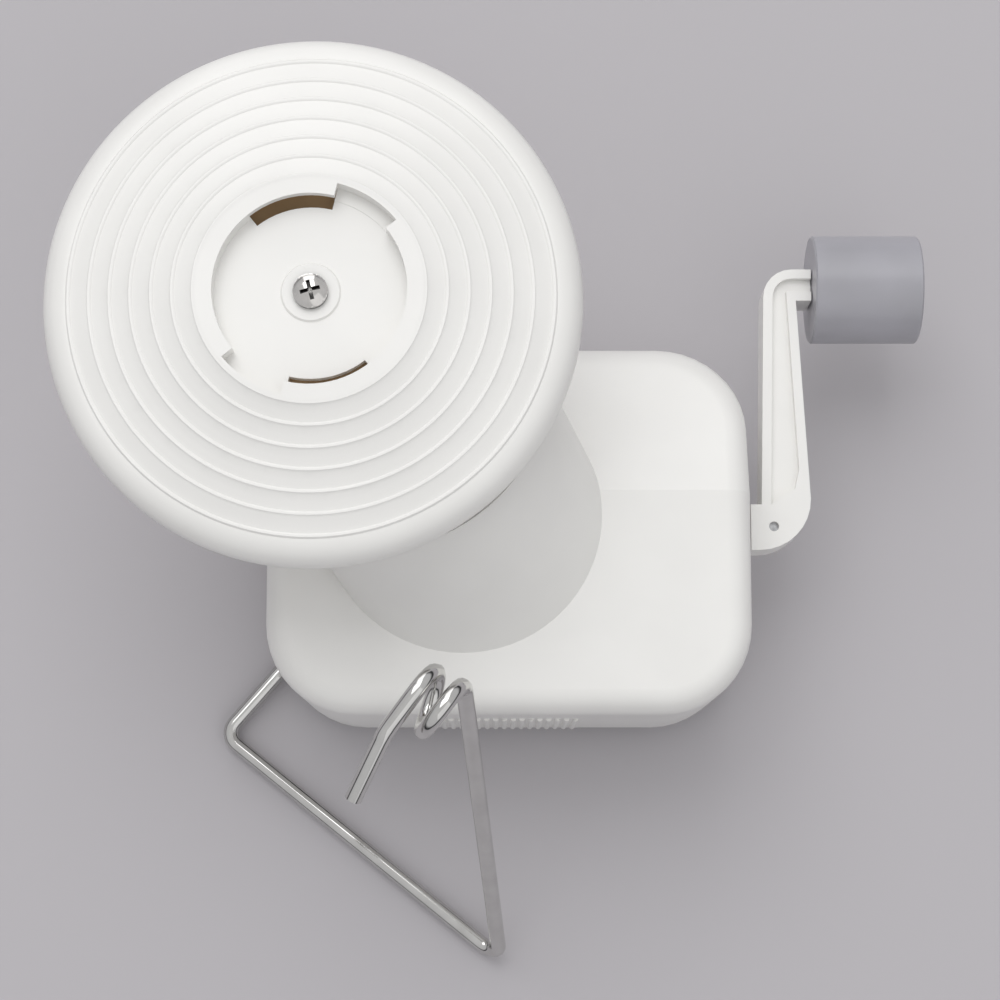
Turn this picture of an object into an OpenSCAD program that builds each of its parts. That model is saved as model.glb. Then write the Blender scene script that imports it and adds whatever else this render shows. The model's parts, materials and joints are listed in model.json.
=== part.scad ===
// Hand-cranked yarn ball winder: case with a leaning neck, nutating winding disc, crank and yarn guide.
// Millimetres, +Z up, +X towards the crank, +Y to the back. The origin is on the table, under the case.

/* [Case] */
// Width of the case
case_w = 118; // [112:0.5:124]
// Depth of the case
case_d = 93; // [89:0.5:98]
// Height of the flat front of the top above the table
case_h = 62; // [60.5:0.5:66]
// Radius of the upright corners
corner_r = 22; // [18:0.5:26]
// Radius of the rounded top edge
top_edge_r = 6; // [4:0.5:8]
// Wall thickness of the case
case_wall = 2.6; // [2:0.1:3]
// Crease between the flat front and the sloping back of the top, from the middle towards the back
crease_y = 7.6; // [5:0.2:11]
// Slope of the back of the top in degrees
back_slope = 20; // [15:1:23]
// Height of the rubber feet
foot_h = 6.5; // [6:0.25:8]
// Thickness of the tray that closes the case from below
tray_t = 3; // [2.5:0.25:4]
// Number of grip ribs on the front wall
grip_ribs = 16; // [8:1:20]
// Spacing of the grip ribs
grip_pitch = 2.2; // [1.8:0.1:2.6]

/* [Neck and rotor] */
// Lean of the neck from upright, equal to the tilt of the disc on the rotor, in degrees
neck_lean = 31; // [29:0.5:32]
// Distance along the neck from the crank's axis to the point that the disc wobbles about
pivot_len = 111; // [108:0.5:114]
// Distance along the neck from the crank's axis to the neck's mouth
mouth_len = 48.5; // [47.5:0.5:49.5]
// Outer radius of the neck at its mouth
mouth_r = 34.5; // [33.5:0.25:36]
// Radius of the neck's foot on the case
neck_foot_r = 33.8; // [31:0.2:36]
// Place of the neck's foot, across
neck_foot_x = -11; // [-14:0.5:-8]
// Place of the neck's foot, front to back
neck_foot_y = 1.4; // [-1:0.2:4]
// Radius of the rotor's tube in its bushes
rotor_r = 6; // [5.5:0.1:6.5]
// Radius of the rotor's head
head_r = 27; // [25:0.5:28]
// Radius of the standing post of the sun gear
post_r = 2.5; // [2.2:0.1:2.7]

/* [Winding disc] */
// Outer radius of the disc
disc_r = 62; // [60:0.5:63]
// Height of the rim's lower edge above the table, disc level
disc_rim_z = 97; // [96.5:0.25:98]
// Number of raised rings on the disc's face
step_count = 7; // [5:1:7]
// Spacing of the raised rings
step_pitch = 4.85; // [4.6:0.05:5]
// Fall of the face from one ring to the next
step_h = 1.1; // [0.9:0.1:1.2]
// Radius of the recess for the cone
recess_r = 22; // [21:0.25:22.5]
// Depth of that recess
recess_deep = 4.7; // [4:0.1:5]
// Wall thickness of the disc
disc_wall = 2.4; // [2:0.1:2.6]
// Radius of the spindle that the disc turns on
spindle_r = 3; // [2.6:0.1:3.4]

/* [Crank] */
// Height of the crank's axis above the table
axle_z = 34; // [33.5:0.25:35]
// Place of the crank's axis, front to back
axle_y = 2; // [1:0.25:3]
// Place along the crank's axis where the neck's axis crosses it
gear_x = -8; // [-9:0.25:-7]
// Radius of the crank shaft
shaft_r = 3.5; // [3:0.1:3.8]
// Length of the crank arm between its two axes
arm_len = 62.4; // [58:0.2:66]
// Thickness of the crank arm
arm_t = 11; // [10:0.25:13]
// Radius of the knob
knob_r = 13.8; // [12:0.2:15]
// Length of the knob
knob_len = 27.3; // [25:0.1:31]
// Radius of the pin that the knob turns on
knob_axle_r = 2.6; // [2.3:0.1:3]

/* [Gears] */
// Teeth on the crown gear
crown_teeth = 36; // [36:3:36]
// Teeth on the rotor's pinion
pinion_teeth = 12; // [12:1:12]
// Tooth size of the crown gear and pinion, as pitch diameter over teeth
crown_module = 1.25; // [1.2:0.01:1.27]
// Teeth on the ring gear under the disc
ring_teeth = 37; // [34:1:38]
// Teeth on the standing sun gear
sun_teeth = 15; // [14:1:16]
// Thinning of each tooth flank, for backlash
flank_gap = 0.12; // [0.1:0.01:0.16]

/* [Yarn guide] */
// Radius of the guide wire
wire_r = 2; // [1.75:0.05:2.2]
// Height of the guide's eye above the table
eye_z = 95; // [85:1:105]
// Radius of the eye's loop at the middle of the wire
eye_r = 6.6; // [6:0.1:8]
// Advance of the eye's loop in one turn
eye_pitch = 7; // [6:0.1:9]

/* [Fits] */
// Radial clearance of turning fits
run_gap = 0.05; // [0.03:0.01:0.09]
// Clearance between faces that pass each other
face_gap = 0.3; // [0.2:0.05:0.4]

/* [Hidden] */
$fn = 64;
lap = 0.5;

// Levels
tray_top = foot_h + tray_t;
inner_x = case_w / 2 - case_wall;

// Gear angles: the crown gear is flat, so the pinion's cone and the neck's direction follow from the teeth
pressure = 25;
pinion_cone = asin(pinion_teeth / crown_teeth);
neck_az = acos(-sin(pinion_cone) / sin(neck_lean));
crown_reach = crown_module * crown_teeth / 2;
crown_face = 7;
ring_cone = atan2(sin(neck_lean), sun_teeth / ring_teeth + cos(neck_lean));
sun_cone = neck_lean - ring_cone;
ring_face = 4.5;

// The point where the axes of crank and neck cross, and the point that the disc wobbles about
gear_point = [gear_x, axle_y, axle_z];
neck_dir = [sin(neck_lean) * cos(neck_az), sin(neck_lean) * sin(neck_az), cos(neck_lean)];
wobble_point = gear_point + pivot_len * neck_dir;
disc_at = [wobble_point.x, wobble_point.y, 0];

// Top of the rotor's head, and the ring gear that just clears it
head_z = disc_rim_z - 6;
ring_low = head_z + 1;
ring_reach = (wobble_point.z - ring_low) / cos(ring_cone);

// Rotor and its bearings, as distances along the neck from the crank's axis
bush_wall = 2;
sleeve_wall = 3.5;
sleeve_r = rotor_r + bush_wall + sleeve_wall;
deck_top = mouth_len - 2;
deck_t = 2.5;
flange_t = 1.5;
flange_r = sleeve_r - 0.5;
sleeve_from = deck_top - 20;
bush_len = 7;
pinion_end = crown_reach * cos(pinion_cone);
shank_r = 4.2;
shank_to = pinion_end + 11;
tube_from = pinion_end + 1.2;
clip_t = 1.4;
clip_r = rotor_r + 2.4;
post_from = 4;
boss_r = 4.8;
boss_to = 12;
sun_from = pivot_len - ring_reach * cos(sun_cone);
sun_to = pivot_len - (ring_reach - ring_face) * cos(sun_cone);
spindle_boss_r = 6.5;
spindle_boss_h = 15;
spindle_from = head_z - spindle_boss_h + 3;

// Levels of the disc, at rest
rim_roll = 6.5;
lip_z = disc_rim_z + rim_roll + step_count * step_h;
floor_z = lip_z - recess_deep;
floor_low = floor_z - disc_wall;
washer_t = 0.7;
hub_low = head_z + washer_t + 0.2;
hub_r = 7;
pad_r = 6.5;
pad_h = 0.6;
spindle_top = floor_z + pad_h + 0.1;
lip_w = 4.3;
bead_h = 0.3;
bead_w = 0.6;
rim_low = 1.6;
roll_z = rim_roll + step_h;

// Crank
hub_x = case_w / 2 + 2;
arm_left = hub_x + 2.8;
arm_right = hub_x + 15.2;
arm_end_x = hub_x + 16.4;
arm_lean = 1.3;
arm_wide_top = 8.3;
hub_up = 5.6;
hub_down = 6;
shaft_from = gear_x + 4;
shaft_to = arm_left + 6;
pin_r = 1.25;
pin_x = arm_left + 3;
pin_sunk = 1.4;
axle_from = arm_left + 3.5;
knob_x = arm_end_x + face_gap;
knob_edge = 0.4;
boss_half = 4.1;
crank_bush_r = shaft_r + bush_wall;
crank_boss_r = crank_bush_r + 3;

// Yarn guide: pivot in the tray, two bends near the table, and the loop's first crest
guide_pivot = [-38, -6];
wire_z = wire_r + 1;
foot_bend_r = wire_r + 0.6;
bend_left = [-74.9, -48.2];
bend_front = [-2.2, -106.2];
eye_back = [-10.3, -42.6];
eye_across = [0.46, 0.888];
eye_along = [-0.888, 0.46];
eye_turn = 460;
tail_len = 18;
tail_drop = 8.5;
bend_r = 4;

// Fasteners
screw_r = 1.5;
screw_head_r = 3;
screw_head_h = 1.4;
head_gap = 0.2;
base_boss_r = 4;
base_screw_len = 13;

// Plain helpers

// Outline of the case, drawn in by inset, with a point at each end of the crease
corner_steps = 10;

function corner(q, inset) =
    let (sx = (q == 0 || q == 3) ? 1 : -1, sy = q < 2 ? 1 : -1)
    [for (i = [0 : corner_steps]) let (a = 90 * (q + i / corner_steps))
        [sx * (case_w / 2 - corner_r), sy * (case_d / 2 - corner_r)] + (corner_r - inset) * [cos(a), sin(a)]];

function outline(inset) = concat(
    [[case_w / 2 - inset, crease_y]], corner(0, inset), corner(1, inset),
    [[inset - case_w / 2, crease_y]], corner(2, inset), corner(3, inset));

// Point on the top's surface, lowered by drop: flat in front of the crease, sloping behind it
function on_top(p, drop) = [p.x, p.y, case_h - drop - max(0, p.y - crease_y) * tan(back_slope)];

function unit(v) = v / norm(v);

// Frame of the neck: Z runs up the neck from the crank's axis
module on_neck(s = 0) {
    translate(gear_point) rotate([0, neck_lean, neck_az]) translate([0, 0, s]) children();
}

// Frame of the crank: Z runs along +X from the crossing of the axes
module on_crank(x = 0) {
    translate([x, axle_y, axle_z]) rotate([0, 90, 0]) children();
}

module tube(r, bore, h) {
    difference() {
        cylinder(r = r, h = h);
        translate([0, 0, -1]) cylinder(r = bore, h = h + 2);
    }
}

module pan_screw(r, length, head_r, head_h) {
    translate([0, 0, -length]) cylinder(r = r, h = length + 0.1);
    rotate_extrude() intersection() {
        square([head_r, head_h]);
        translate([0, head_h - head_r * 1.6]) circle(r = head_r * 1.6);
    }
}

// Bevel gears: apex at the origin, cone opening along +Z, a tooth at azimuth 0

function involute(a) = tan(a) * 180 / PI - a;

// Half the tooth's width at height y above the pitch line, on a gear of z teeth and cone angle cone
function half_tooth(y, m, z, cone) =
    cone > 89.9 ? PI * m / 4 - y * tan(pressure) - flank_gap
    : let (rv = m * z / cos(cone) / 2, r = rv + y, rb = rv * cos(pressure), a = r > rb ? acos(rb / r) : 0)
    r * (90 * cos(cone) / z + involute(pressure) - involute(a)) * PI / 180 - flank_gap;

function tooth_heights(m) = [-1.05 * m, -0.4 * m, 0.2 * m, 0.8 * m];

// One end's loop of tooth points, scaled towards the apex by k
function tooth_loop(z, cone, reach, k) =
    let (m = 2 * reach * sin(cone) / z, ys = tooth_heights(m), n = len(ys))
    [for (t = [0 : z - 1]) for (j = [0 : 2 * n - 1])
        let (rise = j < n, y = ys[rise ? j : 2 * n - 1 - j],
            ra = reach * sin(cone) + y * cos(cone), za = reach * cos(cone) - y * sin(cone),
            turn = 360 * t / z + (rise ? -1 : 1) * half_tooth(y, m, z, cone) / ra * 180 / PI)
        k * [ra * cos(turn), ra * sin(turn), za]];

// The same loop of points at one depth below the pitch line
function rim_loop(z, cone, reach, k, depth) =
    let (teeth = tooth_loop(z, cone, reach, k),
        ra = k * (reach * sin(cone) - depth * cos(cone)), za = k * (reach * cos(cone) + depth * sin(cone)))
    [for (p = teeth) let (q = norm([p.x, p.y])) [p.x / q * ra, p.y / q * ra, za]];

function strip(a, b, n) = [for (i = [0 : n - 1]) let (j = (i + 1) % n) each
    [[a + i, a + j, b + j], [a + i, b + j, b + i]]];

// Toothed ring with a rim of the given depth under its pitch line
module toothed_ring(z, cone, reach, face, depth) {
    k = 1 - face / reach;
    n = len(tooth_loop(z, cone, reach, 1));
    polyhedron(
        points = concat(tooth_loop(z, cone, reach, 1), tooth_loop(z, cone, reach, k),
            rim_loop(z, cone, reach, k, depth), rim_loop(z, cone, reach, 1, depth)),
        faces = concat(strip(0, n, n), strip(n, 2 * n, n), strip(2 * n, 3 * n, n), strip(3 * n, 0, n)));
}

// Solid toothed cone, closed at both ends
module toothed_cone(z, cone, reach, face) {
    k = 1 - face / reach;
    outer = tooth_loop(z, cone, reach, 1);
    n = len(outer);
    polyhedron(
        points = concat(outer, k * outer, [[0, 0, reach * cos(cone)], [0, 0, k * reach * cos(cone)]]),
        faces = concat(strip(0, n, n),
            [for (i = [0 : n - 1]) [(i + 1) % n, i, 2 * n]],
            [for (i = [0 : n - 1]) [n + i, n + (i + 1) % n, 2 * n + 1]]));
}

// Bent wire: straight runs with rounded bends, swept by a ring of points

// Points of a path whose corner b is rounded to radius r, n steps
function rounded(a, b, c, r, n) =
    let (u = unit(a - b), v = unit(c - b), half = acos(u * v) / 2, t = r / tan(half),
        w = unit(u + v), o = b + w * r / sin(half), sweep = 180 - 2 * half, x = unit(b + u * t - o),
        y = unit(cross(cross(x, unit(b + v * t - o)), x)))
    [for (i = [0 : n]) o + r * (cos(sweep * i / n) * x + sin(sweep * i / n) * y)];

function eye_point(t) =
    let (flat = eye_back + eye_across * eye_r * (cos(t) - 1) + eye_along * eye_pitch * t / 360)
    [flat.x, flat.y, eye_z + eye_r * sin(t)];

guide_start = [guide_pivot.x, guide_pivot.y, tray_top];
guide_low = [guide_pivot.x, guide_pivot.y, wire_z];
guide_left = [bend_left.x, bend_left.y, wire_z];
guide_front = [bend_front.x, bend_front.y, wire_z];
eye_first = eye_point(0);
riser_top = eye_first - [0, 0, 3];
tail_from = eye_point(eye_turn);
tail_dir = unit(eye_point(eye_turn + 5) - eye_point(eye_turn - 5));
tail_mid = tail_from + 10 * tail_dir;
tail_out = unit([-eye_across.x, -eye_across.y, -tail_drop / tail_len]);
tail_end = tail_mid + tail_len * tail_out;

eye_path = [for (t = [20 : 20 : eye_turn]) eye_point(t)];
guide_path = concat(
    rounded(guide_start, guide_low, guide_left, foot_bend_r, 5),
    rounded(guide_low, guide_left, guide_front, bend_r, 8),
    rounded(guide_left, guide_front, riser_top, bend_r, 8),
    rounded(guide_front, riser_top, eye_point(20), 4, 4),
    eye_path,
    rounded(tail_from, tail_mid, tail_end, 12, 4),
    [tail_end]);

function tangents(p) = [for (i = [0 : len(p) - 1]) unit(p[min(i + 1, len(p) - 1)] - p[max(i - 1, 0)])];

function normals(t) = [for (i = 0, n = unit(cross(t[0], [1, 0.3, 0.2])); i < len(t);
    i = i + 1, n = i < len(t) ? unit(n - (n * t[i]) * t[i]) : n) n];

module swept_wire(path, r, sides) {
    t = tangents(path);
    n = normals(t);
    count = len(path);
    rings = [for (i = [0 : count - 1]) for (j = [0 : sides - 1]) let (a = 360 * j / sides)
        path[i] + r * (cos(a) * n[i] + sin(a) * cross(t[i], n[i]))];
    polyhedron(
        points = concat(rings, [path[0], path[count - 1]]),
        faces = concat(
            [for (i = [0 : count - 2]) for (j = [0 : sides - 1])
                let (k = (j + 1) % sides, a = i * sides, b = a + sides)
                each [[a + j, b + j, b + k], [a + j, b + k, a + k]]],
            [for (j = [0 : sides - 1]) [j, (j + 1) % sides, count * sides]],
            [for (j = [0 : sides - 1]) [(count - 1) * sides + (j + 1) % sides, (count - 1) * sides + j,
                count * sides + 1]]));
}

// Least gap between the eye's turns, wire surface to wire surface
eye_fine = [for (t = [0 : 10 : eye_turn]) eye_point(t)];
eye_gap = min([for (i = [0 : len(eye_fine) - 1]) for (j = [i + 18 : len(eye_fine) - 1])
    if (j < len(eye_fine)) norm(eye_fine[i] - eye_fine[j])]) - 2 * wire_r;
echo(eye_gap = eye_gap);

// Case

// Closed form of the case, drawn in by inset, its top lowered by drop, its top edge rounded
module case_form(inset, drop, low, edge, steps) {
    n = len(outline(inset));
    half = n / 2;
    top = (steps + 1) * n;
    polyhedron(
        points = concat(
            [for (p = outline(inset)) [p.x, p.y, low]],
            [for (k = [0 : steps]) let (a = 90 * k / steps)
                for (p = outline(inset + edge * (1 - cos(a)))) on_top(p, drop + edge * (1 - sin(a)))]),
        faces = concat(
            [[for (i = [0 : n - 1]) i]],
            [for (k = [0 : steps]) each strip((k + 1) * n, k * n, n)],
            [[for (i = [half : -1 : 0]) top + i]],
            [concat([top], [for (i = [n - 1 : -1 : half]) top + i])]));
}

// Closed form of the neck, drawn in by inset, from its foot on the case to a place along the neck
neck_sides = 72;
neck_foot_deep = 14;
neck_across = [cos(neck_lean) * cos(neck_az), cos(neck_lean) * sin(neck_az), -sin(neck_lean)];
neck_aside = [-sin(neck_az), cos(neck_az), 0];

module neck_form(inset, drop, to) {
    n = neck_sides;
    foot = [neck_foot_x, neck_foot_y];
    mouth = gear_point + to * neck_dir;
    polyhedron(
        points = concat(
            [for (i = [0 : n - 1]) let (a = 360 * i / n)
                on_top(foot + (neck_foot_r - inset) * [cos(a), sin(a)], drop)],
            [for (i = [0 : n - 1]) let (a = 360 * i / n - neck_az)
                mouth + (mouth_r - inset) * (cos(a) * neck_across + sin(a) * neck_aside)],
            [[foot.x, foot.y, case_h - drop - neck_foot_deep], mouth]),
        faces = concat(
            strip(n, 0, n),
            [for (i = [0 : n - 1]) [i, (i + 1) % n, 2 * n]],
            [for (i = [0 : n - 1]) [n + (i + 1) % n, n + i, 2 * n + 1]]));
}

// Grip ribs on the front wall
grip_low = foot_h + 3;
grip_top = case_h - 20;
grip_r = grip_pitch * 0.33;

// Boss of the crank's outer bush, inside the wall
crank_boss_len = 8;

// Places of the four screw bosses in the corners
boss_diag = (corner_r - case_wall - base_boss_r + 0.1) * sqrt(0.5);
boss_x = case_w / 2 - corner_r + boss_diag;
boss_y = case_d / 2 - corner_r + boss_diag;

module at_corners() {
    for (sx = [-1, 1]) for (sy = [-1, 1]) translate([sx * boss_x, sy * boss_y, 0]) children();
}

function boss_top(y) =
    case_h - case_wall * 0.6 - (y > crease_y ? (y - crease_y) * tan(back_slope) + 1.5 : 0);

module top_shell() {
    color("white") difference() {
        union() {
            difference() {
                union() {
                    case_form(0, 0, foot_h, top_edge_r, 6);
                    neck_form(0, 0.5, mouth_len);
                }
                case_form(case_wall, case_wall, foot_h - 1, top_edge_r - case_wall, 2);
                neck_form(case_wall, case_wall + 1, deck_top - deck_t);
                on_neck(deck_top) cylinder(r = mouth_r - case_wall, h = 5);
            }
            on_neck(sleeve_from) cylinder(r = sleeve_r, h = deck_top - lap - sleeve_from);
            for (sx = [-1, 1]) for (y = [-boss_y, boss_y]) translate([sx * boss_x, y, tray_top])
                cylinder(r = base_boss_r, h = boss_top(y) - tray_top);
            on_crank(inner_x - crank_boss_len) cylinder(r = crank_boss_r, h = crank_boss_len + lap);
            for (i = [0 : grip_ribs - 1])
                translate([(i - (grip_ribs - 1) / 2) * grip_pitch, -case_d / 2 + 0.1, grip_low])
                    cylinder(r = grip_r, h = grip_top - grip_low, $fn = 16);
        }
        on_neck(sleeve_from - 1) cylinder(r = rotor_r + bush_wall, h = 40);
        on_crank(inner_x - crank_boss_len - 1) cylinder(r = crank_bush_r, h = 20);
        at_corners() translate([0, 0, tray_top - 1]) cylinder(r = screw_r, h = base_screw_len);
    }
}

// Tray with the guide's pivot boss and holes for the screws
pivot_boss_r = wire_r + 3;
pivot_boss_h = 10;

module base_tray() {
    color("whitesmoke") difference() {
        union() {
            translate([0, 0, foot_h]) linear_extrude(tray_t) polygon(outline(case_wall + face_gap));
            translate([guide_pivot.x, guide_pivot.y, tray_top - lap])
                cylinder(r = pivot_boss_r, h = pivot_boss_h + lap);
        }
        translate([guide_pivot.x, guide_pivot.y, 0]) cylinder(r = wire_r + run_gap, h = 60);
        at_corners() cylinder(r = screw_r, h = 40);
        at_corners() translate([0, 0, foot_h - 1])
            cylinder(r = screw_head_r + head_gap, h = screw_head_h + 1);
        bracket_screw_places() cylinder(r = screw_r, h = 40);
        bracket_screw_places() translate([0, 0, foot_h - 1])
            cylinder(r = screw_head_r + head_gap, h = screw_head_h + 1);
    }
}

// Feet: one near each corner, and one under the middle
foot_r = 6;
foot_x = boss_x - 14;
foot_y = boss_y;
foot_places = concat([[0, 0]], [for (sx = [-1, 1]) for (sy = [-1, 1]) [sx * foot_x, sy * foot_y]]);

module feet() {
    color("dimgray") for (p = foot_places) translate([p.x, p.y, 0])
        rotate_extrude() polygon([[0, 0], [foot_r - 1, 0], [foot_r, 1], [foot_r - 0.6, foot_h], [0, foot_h]]);
}

module base_screws() {
    color("silver") at_corners() translate([0, 0, foot_h + screw_head_h]) rotate([180, 0, 0])
        pan_screw(screw_r, 10, screw_head_r, screw_head_h);
}

// Stands for the inner bush and for the sun gear's post
stand_t = 5;
shaft_stand_x = 10;
post_stand_x = gear_x - 11;
stand_foot = 10;

module bracket_screw_places() {
    for (p = [[shaft_stand_x + stand_t / 2, axle_y - 12], [shaft_stand_x + stand_t / 2, axle_y + 12],
        [post_stand_x + stand_t / 2, axle_y - 6], [post_stand_x + stand_t / 2, axle_y + 12]])
        translate([p.x, p.y, 0]) children();
}

module shaft_bracket() {
    color("gainsboro") difference() {
        union() {
            translate([shaft_stand_x, axle_y - 16, tray_top]) cube([stand_t, 32, stand_foot]);
            translate([shaft_stand_x, axle_y - crank_boss_r, tray_top])
                cube([stand_t, 2 * crank_boss_r, axle_z - tray_top]);
            on_crank(shaft_stand_x - 2) cylinder(r = crank_boss_r, h = stand_t + 4);
        }
        on_crank(shaft_stand_x - 5) cylinder(r = crank_bush_r, h = stand_t + 12);
        bracket_screw_places() cylinder(r = screw_r, h = tray_top + 8);
    }
}

module post_bracket() {
    color("gainsboro") difference() {
        union() {
            translate([post_stand_x, axle_y - 10, tray_top]) cube([stand_t, 26, stand_foot]);
            translate([post_stand_x, axle_y - 4, tray_top]) cube([stand_t, 14, axle_z + 8 - tray_top]);
            on_neck(post_from) cylinder(r = boss_r, h = boss_to - post_from);
        }
        on_neck(post_from + 2) cylinder(r = post_r, h = 40);
        translate([gear_x + crown_depth - crown_web - 0.7, axle_y - 20, axle_z - 20]) cube(40);
        bracket_screw_places() cylinder(r = screw_r, h = tray_top + 8);
    }
}

module bracket_screws() {
    color("silver") bracket_screw_places() translate([0, 0, foot_h + screw_head_h]) rotate([180, 0, 0])
        pan_screw(screw_r, 9, screw_head_r, screw_head_h);
}

// Bushes
collar_w = 1.5;

module crank_bush_outer() {
    color("burlywood") {
        on_crank(inner_x - crank_boss_len)
            tube(crank_bush_r, shaft_r + run_gap, crank_boss_len + case_wall);
        on_crank(inner_x - crank_boss_len - 1) tube(crank_bush_r + collar_w, shaft_r + run_gap, 1);
    }
}

module crank_bush_inner() {
    color("burlywood") {
        on_crank(shaft_stand_x - 2) tube(crank_bush_r, shaft_r + run_gap, stand_t + 4);
        on_crank(shaft_stand_x + stand_t + 2) tube(crank_bush_r + collar_w, shaft_r + run_gap, 1);
    }
}

module rotor_bush_lower() {
    color("burlywood") on_neck(sleeve_from) tube(rotor_r + bush_wall, rotor_r + run_gap, bush_len);
}

module rotor_bush_upper() {
    color("burlywood") {
        on_neck(deck_top - bush_len) tube(rotor_r + bush_wall, rotor_r + run_gap, bush_len);
        on_neck(deck_top) tube(flange_r, rotor_r + run_gap, flange_t);
    }
}

// Standing sun gear on its post
module sun_post() {
    color("silver") on_neck(post_from + 2) cylinder(r = post_r, h = sun_to + 0.8 - post_from - 2);
}

module sun_gear() {
    color("ivory") difference() {
        on_neck(pivot_len) rotate([180, 0, 0]) toothed_cone(sun_teeth, sun_cone, ring_reach, ring_face);
        on_neck(sun_from - 5) cylinder(r = post_r, h = 20);
    }
}

// Crank
module pin_place() {
    translate([pin_x, axle_y, axle_z]) children();
}

module crank_shaft() {
    color("silver") difference() {
        on_crank(shaft_from) cylinder(r = shaft_r, h = shaft_to - shaft_from);
        pin_place() cylinder(r = pin_r, h = 2 * arm_t, center = true);
    }
}

crown_depth = 1.05 * crown_module + 2.6;
crown_web = 2.2;

module crown_gear() {
    color("ivory") difference() {
        union() {
            on_crank(gear_x) rotate([0, 0, atan2(neck_dir.y, -neck_dir.z)])
                toothed_ring(crown_teeth, 90, crown_reach, crown_face, crown_depth);
            on_crank(gear_x + crown_depth - crown_web)
                tube(crown_reach - crown_face / 2, shaft_r, crown_web);
            on_crank(gear_x + crown_depth - crown_web) tube(shaft_r + 3.5, shaft_r, 9);
        }
        on_crank(gear_x - 10) cylinder(r = shaft_r, h = 40);
    }
}

// Outline of the crank arm seen from above, with the crank's axis at y = 0
arm_bottom_r = 13;
arm_top_r = 7.3;

function arc(c, r, from, to, n) =
    [for (i = [0 : n]) let (a = from + (to - from) * i / n) c + r * [cos(a), sin(a)]];

function arm_outline() =
    let (top_right = arm_left + arm_lean + arm_wide_top, top = arm_len + boss_half,
        under = arm_len - boss_half)
    concat(
        arc([arm_right - arm_bottom_r, arm_bottom_r - hub_down], arm_bottom_r, -90, 0, 8),
        [[top_right, under], [arm_end_x, under], [arm_end_x, top]],
        arc([arm_left + arm_lean + arm_top_r, top - arm_top_r], arm_top_r, 90, 180, 6),
        [[arm_left, hub_up], [hub_x, hub_up], [hub_x, -hub_down]]);

// Hollow between the arm's rims, open towards the knob
arm_rim = 2.4;
hollow_deep = 1.8;

function arm_hollow() =
    let (top_right = arm_left + arm_lean + arm_wide_top - arm_rim, right = arm_right - arm_rim,
        top = arm_len + boss_half, under = arm_len - boss_half + arm_rim)
    concat(
        [[arm_left + arm_rim, hub_up], [right - 1.5, hub_up + 4], [right - 0.4, hub_up + 9],
            [top_right, under], [arm_end_x + 1, under], [arm_end_x + 1, top - arm_rim]],
        arc([arm_left + arm_lean + arm_top_r, top - arm_top_r], arm_top_r - arm_rim, 90, 180, 6));

module crank_arm() {
    color("white") difference() {
        translate([0, axle_y, axle_z - arm_t / 2]) linear_extrude(arm_t) polygon(arm_outline());
        for (z = [axle_z + arm_t / 2 - hollow_deep, axle_z - arm_t * 3 / 2 + hollow_deep])
            translate([0, axle_y, z]) linear_extrude(arm_t) polygon(arm_hollow());
        on_crank(hub_x - 1) cylinder(r = shaft_r, h = shaft_to - hub_x + 1);
        pin_place() cylinder(r = pin_r, h = 2 * arm_t, center = true);
        translate([axle_from, axle_y + arm_len, axle_z]) rotate([0, 90, 0])
            cylinder(r = knob_axle_r, h = arm_end_x - axle_from + 1);
    }
}

module arm_pin() {
    color("silver") pin_place() cylinder(r = pin_r, h = arm_t - 2 * pin_sunk, center = true);
}

axle_head_r = knob_axle_r + 2;
axle_head_t = 2;
cap_t = 2.5;
axle_to = knob_x + knob_len - cap_t - 1;

module knob_axle() {
    color("silver") translate([0, axle_y + arm_len, axle_z]) rotate([0, 90, 0]) {
        translate([0, 0, axle_from]) cylinder(r = knob_axle_r, h = axle_to - axle_from);
        translate([0, 0, axle_to - axle_head_t]) cylinder(r = axle_head_r, h = axle_head_t);
    }
}

module knob() {
    pocket = cap_t + 1 + axle_head_t + 0.2;
    color("darkgray") translate([knob_x, axle_y + arm_len, axle_z]) rotate([0, 90, 0]) difference() {
        rotate_extrude() polygon([[0, 0], [knob_r - knob_edge, 0], [knob_r, knob_edge],
            [knob_r, knob_len - knob_edge], [knob_r - knob_edge, knob_len], [0, knob_len]]);
        translate([0, 0, -1]) cylinder(r = knob_axle_r + run_gap, h = knob_len + 2);
        translate([0, 0, knob_len - pocket]) cylinder(r = axle_head_r + face_gap, h = pocket + 1);
        translate([0, 0, knob_len - cap_t]) cylinder(r = axle_head_r + 2, h = cap_t + 1);
    }
}

module knob_cap() {
    color("darkgray") translate([knob_x + knob_len - cap_t, axle_y + arm_len, axle_z]) rotate([0, 90, 0])
        cylinder(r = axle_head_r + 2, h = cap_t - 0.2);
}

// Rotor: tube in the bushes and a slanted head that carries the spindle
head_wall = 2.6;

// Cylinder on the neck's axis from a place along it up to a level plane
module slanted(from, r, z, turn) {
    difference() {
        on_neck(from) rotate([0, 0, turn]) cylinder(r = r, h = 60);
        translate([disc_at.x - 100, disc_at.y - 100, z]) cube([200, 200, 90]);
    }
}

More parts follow.
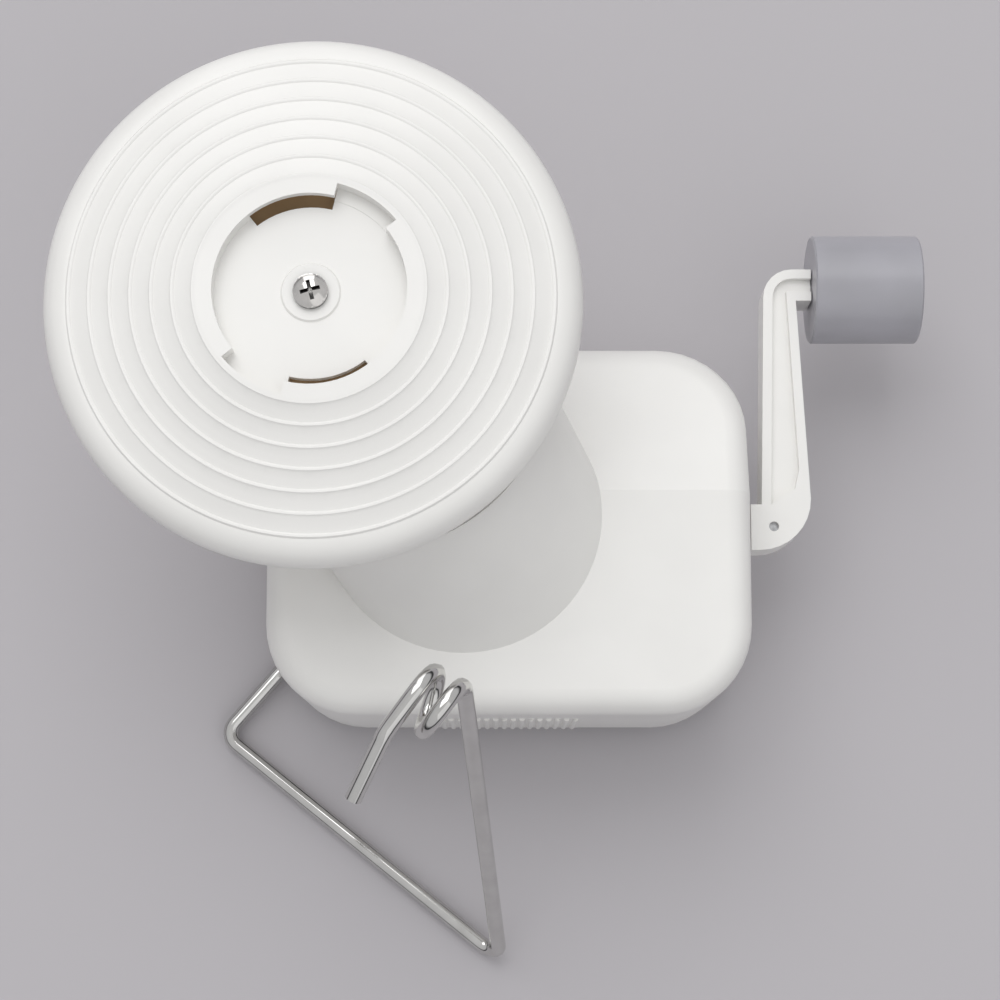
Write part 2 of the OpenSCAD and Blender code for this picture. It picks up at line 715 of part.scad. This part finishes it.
module rotor() {
    foot = mouth_len + 0.4;
    bore = post_r + run_gap;
    relief = 0.4;
    color("white") {
        on_neck() rotate([0, 0, 32]) rotate_extrude() polygon([[shank_r, tube_from], [rotor_r, tube_from],
            [rotor_r, foot + 0.6], [bore + relief, foot + 0.6], [bore + relief, shank_to + 0.2],
            [shank_r, shank_to + 0.2]]);
        difference() {
            union() {
                difference() {
                    slanted(foot, head_r, head_z, 10);
                    slanted(foot - 1, head_r - head_wall, head_z - head_wall, 100);
                }
                slanted(deck_top + flange_t + 0.1, flange_r, head_z - 1, 200);
                translate([disc_at.x, disc_at.y, head_z - spindle_boss_h])
                    cylinder(r = spindle_boss_r, h = spindle_boss_h - 0.5);
            }
            on_neck(foot - 10) rotate([0, 0, 77]) cylinder(r = bore, h = 50);
            translate([disc_at.x, disc_at.y, spindle_from]) rotate([0, 0, 70])
                cylinder(r = spindle_r, h = 30);
        }
    }
}

module rotor_pinion() {
    color("ivory") difference() {
        union() {
            on_neck() rotate([0, 0, atan2(-sin(neck_az), cos(neck_lean) * cos(neck_az)) + 180 / pinion_teeth])
                toothed_cone(pinion_teeth, pinion_cone, crown_reach, crown_face);
            on_neck(pinion_end - 4) cylinder(r = shank_r, h = shank_to - pinion_end + 4);
        }
        on_neck() cylinder(r = post_r + run_gap, h = 60);
    }
}

module rotor_clip() {
    color("silver") on_neck(sleeve_from - 0.2 - clip_t) tube(clip_r, rotor_r, clip_t);
}

module spindle() {
    color("silver") translate([disc_at.x, disc_at.y, 0]) difference() {
        translate([0, 0, spindle_from]) cylinder(r = spindle_r, h = spindle_top - spindle_from);
        translate([0, 0, spindle_top - disc_screw_len - 1]) cylinder(r = disc_screw_r, h = 20);
    }
}

module spindle_washer() {
    color("gold") translate([disc_at.x, disc_at.y, head_z]) tube(hub_r, spindle_r, washer_t);
}

disc_screw_r = 1.8;
disc_screw_len = 10;
disc_screw_head_r = 4;
disc_screw_head_h = 2.6;
cross_long = 4.6;
cross_wide = 0.9;
cross_deep = 1.5;
cross_turn = 15;

module disc_screw() {
    color("silver") translate([disc_at.x, disc_at.y, spindle_top]) difference() {
        pan_screw(disc_screw_r, disc_screw_len, disc_screw_head_r, disc_screw_head_h);
        for (a = [0, 90]) translate([0, 0, disc_screw_head_h]) rotate([0, 0, cross_turn + a])
            cube([cross_long, cross_wide, 2 * cross_deep], center = true);
    }
}

// Winding disc
first_step_r = recess_r + lip_w;
last_step_r = first_step_r + (step_count - 1) * step_pitch;
collar_r = recess_r + 5.5;
undercut_r = recess_r + 3;
lip_t = 2;
slot_in_r = recess_r - 2.1;
notch_from = 39;
notch_to = 76;
slot_to = 129;

// Upper outline from the recess to the rim: sloping bands between raised rings, then the rolled rim
function disc_face() = concat(
    [[recess_r, lip_z]],
    [for (i = [0 : step_count - 1]) each let (r = first_step_r + i * step_pitch, z = lip_z - i * step_h)
        [[r - bead_w, z], [r - bead_w / 3, z + bead_h], [r + bead_w / 3, z + bead_h],
            [r + bead_w, z - bead_h / 2]]],
    [for (a = [15 : 15 : 90]) [last_step_r + (disc_r - last_step_r) * sin(a),
        disc_rim_z + rim_low + (roll_z - rim_low) * cos(a)]],
    [[disc_r - 0.4, disc_rim_z + 0.3], [disc_r - 1, disc_rim_z]]);

function disc_back() = [
    [disc_r - disc_wall, disc_rim_z],
    [disc_r - disc_wall - 0.4, disc_rim_z + rim_low],
    [last_step_r + 1, disc_rim_z + rim_roll - disc_wall],
    [collar_r + 1.5, lip_z - 2 * step_h - disc_wall],
    [collar_r, lip_z - 2 * step_h - disc_wall - 0.8],
    [collar_r, floor_low],
    [hub_r, floor_low],
    [hub_r, hub_low],
    [spindle_r + run_gap, hub_low],
    [spindle_r + run_gap, floor_z + pad_h],
    [pad_r, floor_z + pad_h],
    [pad_r + 0.4, floor_z],
    [recess_r, floor_z]];

module sector(from, to, r_in, r_out, low, high) {
    rotate([0, 0, from]) rotate_extrude(angle = to - from)
        translate([r_in, low]) square([r_out - r_in, high - low]);
}

module winding_disc() {
    color("white") translate(disc_at) difference() {
        rotate_extrude($fn = 128) polygon(concat(disc_face(), disc_back()));
        for (side = [0, 180]) rotate([0, 0, side]) {
            sector(notch_from, notch_to, recess_r - 1, undercut_r, floor_z + 0.2, lip_z + 1);
            sector(notch_to - 1, slot_to, recess_r - 1, undercut_r - 0.2, floor_z + 0.3, lip_z - lip_t);
            sector(notch_to + 0.5, slot_to - 0.5, slot_in_r, undercut_r - 0.4, floor_low - 1, floor_z + 0.6);
        }
    }
}

ring_depth = 3.6;
ring_hub_r = 12.2;
slot_plate_r = undercut_r + 1;
slot_plate_t = 1.5;

module disc_gear() {
    color("ivory") difference() {
        union() {
            translate(wobble_point) rotate([180, 0, 0]) rotate([0, 0, -neck_az - 180 - 180 / ring_teeth])
                toothed_ring(ring_teeth, ring_cone, ring_reach, ring_face, ring_depth);
            translate([disc_at.x, disc_at.y, ring_low + 0.6])
                cylinder(r = ring_hub_r, h = floor_low - ring_low - 0.6);
            translate([disc_at.x, disc_at.y, floor_low - slot_plate_t])
                cylinder(r = slot_plate_r, h = slot_plate_t);
        }
        translate([disc_at.x, disc_at.y, 0]) cylinder(r = hub_r, h = 200);
        translate([disc_at.x, disc_at.y, head_z - 5]) cylinder(r = head_r, h = 5.4);
    }
}

// Yarn guide
pivot_from = wire_z + foot_bend_r;
pivot_top = tray_top + pivot_boss_h + 3.5;

module guide_wire() {
    color("silver") {
        translate([guide_pivot.x, guide_pivot.y, pivot_from])
            cylinder(r = wire_r, h = pivot_top - pivot_from);
        swept_wire(guide_path, wire_r, 12);
    }
}

module guide_retainer() {
    color("silver") translate([guide_pivot.x, guide_pivot.y, tray_top + pivot_boss_h + 0.2])
        tube(wire_r + 2.5, wire_r, 1.2);
}

top_shell();
base_tray();
feet();
base_screws();
shaft_bracket();
post_bracket();
bracket_screws();
crank_bush_outer();
crank_bush_inner();
rotor_bush_lower();
rotor_bush_upper();
sun_post();
sun_gear();
crank_shaft();
crown_gear();
crank_arm();
arm_pin();
knob_axle();
knob();
knob_cap();
rotor();
rotor_pinion();
rotor_clip();
spindle();
spindle_washer();
disc_screw();
winding_disc();
disc_gear();
guide_wire();
guide_retainer();
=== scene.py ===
"""Looks of a hand-cranked yarn ball winder, seen almost straight from above on a plain pale floor."""
import json
import math

import bpy
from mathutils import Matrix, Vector


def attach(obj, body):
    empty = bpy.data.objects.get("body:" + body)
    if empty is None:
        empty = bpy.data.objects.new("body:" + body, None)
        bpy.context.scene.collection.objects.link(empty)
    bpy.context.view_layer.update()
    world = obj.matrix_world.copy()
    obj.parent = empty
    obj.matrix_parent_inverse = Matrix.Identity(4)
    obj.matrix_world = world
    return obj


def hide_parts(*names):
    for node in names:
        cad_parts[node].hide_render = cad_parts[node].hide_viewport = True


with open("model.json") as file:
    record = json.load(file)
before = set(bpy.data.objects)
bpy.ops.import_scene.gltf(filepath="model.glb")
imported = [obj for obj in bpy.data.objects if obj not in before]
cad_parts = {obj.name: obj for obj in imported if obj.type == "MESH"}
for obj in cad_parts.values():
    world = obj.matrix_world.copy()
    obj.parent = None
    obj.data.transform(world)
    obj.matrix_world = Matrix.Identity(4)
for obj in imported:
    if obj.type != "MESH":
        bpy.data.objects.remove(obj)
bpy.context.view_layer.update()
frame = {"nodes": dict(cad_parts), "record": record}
scene = bpy.context.scene
MM = 0.001

# Camera: fitted to the photograph, 621 mm above the table and tipped 9 degrees towards the back
CAMERA_AT = (-2.2 * MM, -83.4 * MM, 621.0 * MM)
CAMERA_TIP_DEG = 9.0
CAMERA_VIEW_DEG = 24.17
CAMERA_NEAREST = 10.0 * MM

# Surfaces: how deep the grain of plastic and the marks of metal are
GRAIN_DEPTH_MM = 0.1
MARK_DEPTH_MM = 0.05

# Finished pieces: how near points are merged, what counts as flat, and how edges are rounded
MERGE_MM = 0.002
FLAT_DEG = 0.05
ROUNDING_STEPS = 3
ROUNDING_FROM_DEG = 40
ARM_EDGE_MM = 0.6

# The line where the case's level deck meets its sloping back: its place front to back, and how exact
DECK_CREASE_MM = 7.6
CREASE_TOLERANCE_MM = 0.02

# Studio, in metres where no unit is named: floor, dome and the point that the lamps face
FLOOR_SIDE = 24.0
FLOOR_CLOUD_MM = 400.0
DOME_STRENGTH = 0.67
LAMP_TARGET = (0, 0, 0.05)


# Materials

def linear(hex_colour):
    """sRGB hex text to a linear colour with alpha."""
    parts = [int(hex_colour[i:i + 2], 16) / 255 for i in (1, 3, 5)]
    return tuple(c / 12.92 if c <= 0.04045 else ((c + 0.055) / 1.055) ** 2.4 for c in parts) + (1.0,)


def add_node(tree, kind, settings=None, **links):
    """Adds one node; settings go to its properties or sockets, links to its inputs."""
    node = tree.nodes.new(kind)
    for key, value in (settings or {}).items():
        if key in node.inputs:
            node.inputs[key].default_value = value
        else:
            setattr(node, key, value)
    for key, output in links.items():
        tree.links.new(node.inputs[key], output)
    return node


def new_material(name, **sockets):
    """A material with its shader node; sockets that are the same all over are set here."""
    material = bpy.data.materials.new(name)
    material.use_nodes = True
    shader = material.node_tree.nodes["Principled BSDF"]
    for key, value in sockets.items():
        shader.inputs[key].default_value = value
    return material, shader


def per_metre(size_mm):
    """Scale of a texture whose pattern repeats at that size."""
    return 1000.0 / size_mm


def set_ramp(ramp, stops):
    """Gives a colour ramp its stops, as pairs of place and hex colour."""
    elements = ramp.color_ramp.elements
    while len(elements) < len(stops):
        elements.new(0.5)
    for element, (place, hex_colour) in zip(elements, stops):
        element.position = place
        element.color = linear(hex_colour)


def give_surface(tree, shader, colour, gloss_from, rough, relief_from, bump, depth_mm):
    """Gives a shader its colour, its range of roughness and its fine relief."""
    gloss = add_node(tree, "ShaderNodeMapRange", {"To Min": rough[0], "To Max": rough[1]},
                     Value=gloss_from)
    relief = add_node(tree, "ShaderNodeBump", {"Strength": bump, "Distance": depth_mm * MM},
                      Height=relief_from)
    tree.links.new(shader.inputs["Base Color"], colour)
    tree.links.new(shader.inputs["Roughness"], gloss.outputs["Result"])
    tree.links.new(shader.inputs["Normal"], relief.outputs["Normal"])


def moulded(name, low_hex, high_hex, mottle_mm, grain_mm, rough, bump, **sockets):
    """Moulded plastic: cloudy colour from the melt's flow, and a fine grain from the mould.

    The grain is drawn coarser than a real mould's, so that it shows.
    """
    material, shader = new_material(name, **sockets)
    tree = material.node_tree
    place = add_node(tree, "ShaderNodeTexCoord").outputs["Object"]
    cloud = add_node(tree, "ShaderNodeTexNoise", {"Scale": per_metre(mottle_mm), "Detail": 3.0},
                     Vector=place).outputs["Fac"]
    grain = add_node(tree, "ShaderNodeTexNoise", {"Scale": per_metre(grain_mm), "Detail": 2.0},
                     Vector=place).outputs["Fac"]
    tint = add_node(tree, "ShaderNodeValToRGB", Fac=cloud)
    set_ramp(tint, [(0.35, low_hex), (0.65, high_hex)])
    give_surface(tree, shader, tint.outputs["Color"], cloud, rough, grain, bump, GRAIN_DEPTH_MM)
    return material


def metal(name, low_hex, high_hex, mark_mm, rough, bump, recess_mm=0.0):
    """Metal with the fine marks of its making, drawn coarser than real ones, so that they show.

    With a recess size, hollows as narrow as that get painted shade: their colour is darkened where ambient
    occlusion finds them closed in.
    """
    material, shader = new_material(name, Metallic=1.0)
    tree = material.node_tree
    place = add_node(tree, "ShaderNodeTexCoord").outputs["Object"]
    marks = add_node(tree, "ShaderNodeTexNoise", {"Scale": per_metre(mark_mm), "Detail": 4.0},
                     Vector=place).outputs["Fac"]
    tint = add_node(tree, "ShaderNodeValToRGB", Fac=marks)
    set_ramp(tint, [(0.3, low_hex), (0.7, high_hex)])
    colour = tint.outputs["Color"]
    if recess_mm:
        # Painted shade: the colour is darkened in narrow hollows, by how closed in ambient occlusion finds
        # them
        openness = add_node(tree, "ShaderNodeAmbientOcclusion", {"Distance": recess_mm * MM, "samples": 8})
        recess_painted_shade = add_node(tree, "ShaderNodeMapRange",
                        {"From Min": 0.5, "From Max": 0.9, "To Min": 0.03, "To Max": 1.0},
                        Value=openness.outputs["AO"])
        painted_shade_colour = add_node(tree, "ShaderNodeHueSaturation", Color=colour, Value=recess_painted_shade.outputs["Result"])
        colour = painted_shade_colour.outputs["Color"]
    give_surface(tree, shader, colour, marks, rough, marks, bump, MARK_DEPTH_MM)
    return material


# Injection-moulded ABS: warm white, glossy skin, very faint flow clouds
ABS_WHITE = moulded("abs_moulded_gloss_white", "#F0EFEC", "#F4F3F0", mottle_mm=30.0, grain_mm=0.9,
                    rough=(0.28, 0.36), bump=0.03, IOR=1.53)
# The tray and brackets: same plastic from a duller mould
ABS_DULL = moulded("abs_moulded_satin_white", "#D6D4CF", "#DEDCD8", mottle_mm=24.0, grain_mm=0.7,
                   rough=(0.45, 0.55), bump=0.08, IOR=1.53)
# Knob: polypropylene, cool light grey, satin
KNOB_GREY = moulded("polypropylene_moulded_grey", "#A5A4AA", "#ADACB3", mottle_mm=18.0, grain_mm=0.6,
                    rough=(0.26, 0.34), bump=0.04, IOR=1.49)
# Gears: natural nylon, waxy cream
NYLON = moulded("nylon_moulded_natural", "#D9D0B8", "#E4DCC6", mottle_mm=12.0, grain_mm=0.5,
                rough=(0.40, 0.52), bump=0.08, IOR=1.53)
# Ring gear under the disc: acetal, waxy tan, seen as a brown line in the slots
ACETAL = moulded("acetal_moulded_tan", "#937755", "#9F8360", mottle_mm=10.0, grain_mm=0.5,
                 rough=(0.40, 0.52), bump=0.08, IOR=1.48)
# Feet: soft rubber, dull, with a coarse grain
RUBBER = moulded("rubber_moulded_black", "#1C1C1D", "#29292A", mottle_mm=6.0, grain_mm=0.4,
                 rough=(0.70, 0.82), bump=0.30, IOR=1.52)
# Guide: bright drawn spring wire, nickel plated, with only a breath of die marks
WIRE_STEEL = metal("spring_steel_nickel_plated", "#CCCBC9", "#D6D5D3", mark_mm=5.0,
                   rough=(0.05, 0.09), bump=0.01)
# Shafts and pins: turned steel
TURNED_STEEL = metal("steel_turned", "#9C9C9E", "#BDBDBF", mark_mm=0.8, rough=(0.25, 0.38), bump=0.08)
# Disc screw: nickel-plated pan head, bright, with painted shade darkening its cross recess
PLATED_STEEL = metal("steel_nickel_plated", "#D2D0CD", "#DEDBD8", mark_mm=2.0,
                     rough=(0.10, 0.16), bump=0.02, recess_mm=2.0)
# Bushes: oil-soaked sintered bronze, grainy brown
BRONZE = metal("bronze_sintered", "#7E5C36", "#A37C4C", mark_mm=0.4, rough=(0.40, 0.55), bump=0.25)

FINISHES = {
    "shell_white": ABS_WHITE,
    "tray_white": ABS_DULL,
    "gear_nylon": NYLON,
    "gear_tan": ACETAL,
    "knob_grey": KNOB_GREY,
    "guide_steel": WIRE_STEEL,
    "steel": TURNED_STEEL,
    "screw_chrome": PLATED_STEEL,
    "bush_bronze": BRONZE,
    "foot_rubber": RUBBER,
}
BODIES = frame["record"]["behaviour"]["bodies"]
SLOT_OF = {entry["node"]: entry["material_slot"] for entry in frame["record"]["subparts"]}
BODY_OF = {name: body for body, names in BODIES.items() for name in names}
for name, slot in SLOT_OF.items():
    frame["nodes"][name].data.materials.clear()
    frame["nodes"][name].data.materials.append(FINISHES[slot])


# Pieces that stand for a solid: its merged copy, with smooth faces and, where asked, rounded edges

def finished(name, smooth_deg, edge_mm=0.0, crease_mm=None):
    """Merged copy of a solid, shaded smooth below an angle; an edge width rounds its sharp edges.

    With a crease's place front to back, the edges along it stay edges, though its angle is small.
    Sharp edges are split before the shading, so that it doesn't bleed from one face to the next.
    """
    mesh = frame["nodes"][name].data.copy()
    piece = bpy.data.objects.new(name + "_finished", mesh)
    scene.collection.objects.link(piece)
    bpy.ops.object.select_all(action="DESELECT")
    piece.select_set(True)
    bpy.context.view_layer.objects.active = piece
    bpy.ops.object.mode_set(mode="EDIT")
    bpy.ops.mesh.select_all(action="SELECT")
    bpy.ops.mesh.remove_doubles(threshold=MERGE_MM * MM)
    bpy.ops.mesh.dissolve_limited(angle_limit=math.radians(FLAT_DEG))
    bpy.ops.object.mode_set(mode="OBJECT")
    if edge_mm:
        rounding = piece.modifiers.new("rounding", "BEVEL")
        rounding.width = edge_mm * MM
        rounding.segments = ROUNDING_STEPS
        rounding.limit_method = "ANGLE"
        rounding.angle_limit = math.radians(ROUNDING_FROM_DEG)
        bpy.ops.object.modifier_apply(modifier=rounding.name)
    if crease_mm is not None:
        for edge in mesh.edges:
            ends = [mesh.vertices[i].co.y for i in edge.vertices]
            edge.use_edge_sharp = all(abs(y - crease_mm * MM) < CREASE_TOLERANCE_MM * MM for y in ends)
    splitting = piece.modifiers.new("sharp_edges_apart", "EDGE_SPLIT")
    splitting.split_angle = math.radians(smooth_deg)
    bpy.ops.object.modifier_apply(modifier=splitting.name)
    bpy.ops.object.shade_smooth()
    weighting = piece.modifiers.new("flat_faces_first", "WEIGHTED_NORMAL")
    bpy.ops.object.modifier_apply(modifier=weighting.name)
    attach(piece, BODY_OF[name])
    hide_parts(name)


finished("top_shell", smooth_deg=30, crease_mm=DECK_CREASE_MM)
finished("winding_disc", smooth_deg=45)
finished("rotor", smooth_deg=30)
finished("crank_arm", smooth_deg=40, edge_mm=ARM_EDGE_MM)
finished("knob", smooth_deg=30)
finished("guide_wire", smooth_deg=60)
finished("disc_screw", smooth_deg=30)

# Floor: matt studio card, cool pale grey
FLOOR_CARD, floor_shader = new_material("studio_card_grey", Roughness=0.9)
floor_tree = FLOOR_CARD.node_tree
floor_place = add_node(floor_tree, "ShaderNodeTexCoord").outputs["Object"]
floor_cloud = add_node(floor_tree, "ShaderNodeTexNoise", {"Scale": per_metre(FLOOR_CLOUD_MM)},
                       Vector=floor_place)
floor_tint = add_node(floor_tree, "ShaderNodeValToRGB", Fac=floor_cloud.outputs["Fac"])
set_ramp(floor_tint, [(0.0, "#BBB8BB"), (1.0, "#C3C0C4")])
floor_tree.links.new(floor_shader.inputs["Base Color"], floor_tint.outputs["Color"])
bpy.ops.object.select_all(action="DESELECT")
bpy.ops.mesh.primitive_plane_add(size=FLOOR_SIDE, location=(0, 0, 0))
floor = bpy.context.object
floor.name = "floor"
floor.data.materials.append(FLOOR_CARD)

# Light: a bright dome with a dark horizon, a key high behind, a low rim lamp behind it, a weak fill in front
scene.view_settings.view_transform = "Standard"
world = bpy.data.worlds.new("studio")
scene.world = world
world.use_nodes = True
dome = world.node_tree
heading = add_node(dome, "ShaderNodeTexCoord").outputs["Generated"]
height = add_node(dome, "ShaderNodeSeparateXYZ", Vector=heading).outputs["Z"]
sky = add_node(dome, "ShaderNodeValToRGB", Fac=height)
set_ramp(sky, [(0.0, "#3A3A3C"), (0.12, "#5A5A5C"), (0.28, "#F0F0F2"), (1.0, "#FFFFFF")])
dome.links.new(dome.nodes["Background"].inputs["Color"], sky.outputs["Color"])
dome.nodes["Background"].inputs["Strength"].default_value = DOME_STRENGTH


def soft_box(name, at, size, power):
    """A square area lamp that faces the part."""
    lamp = bpy.data.lights.new(name, "AREA")
    lamp.shape = "SQUARE"
    lamp.size = size
    lamp.energy = power
    holder = bpy.data.objects.new(name, lamp)
    holder.location = at
    holder.rotation_euler = (Vector(LAMP_TARGET) - Vector(at)).to_track_quat("-Z", "Y").to_euler()
    scene.collection.objects.link(holder)


soft_box("key_back_left", at=(-0.27, 1.02, 1.70), size=1.4, power=12.5)
soft_box("rim_back", at=(-0.30, 1.60, 0.60), size=1.0, power=3.5)
soft_box("fill_front_right", at=(0.70, -0.80, 1.20), size=1.5, power=2.0)

camera = bpy.data.cameras.new("camera")
camera.sensor_fit = "HORIZONTAL"
camera.angle = math.radians(CAMERA_VIEW_DEG)
camera.clip_start = CAMERA_NEAREST
camera_holder = bpy.data.objects.new("camera", camera)
camera_holder.location = CAMERA_AT
camera_holder.rotation_euler = (math.radians(CAMERA_TIP_DEG), 0, 0)
scene.collection.objects.link(camera_holder)
scene.camera = camera_holder
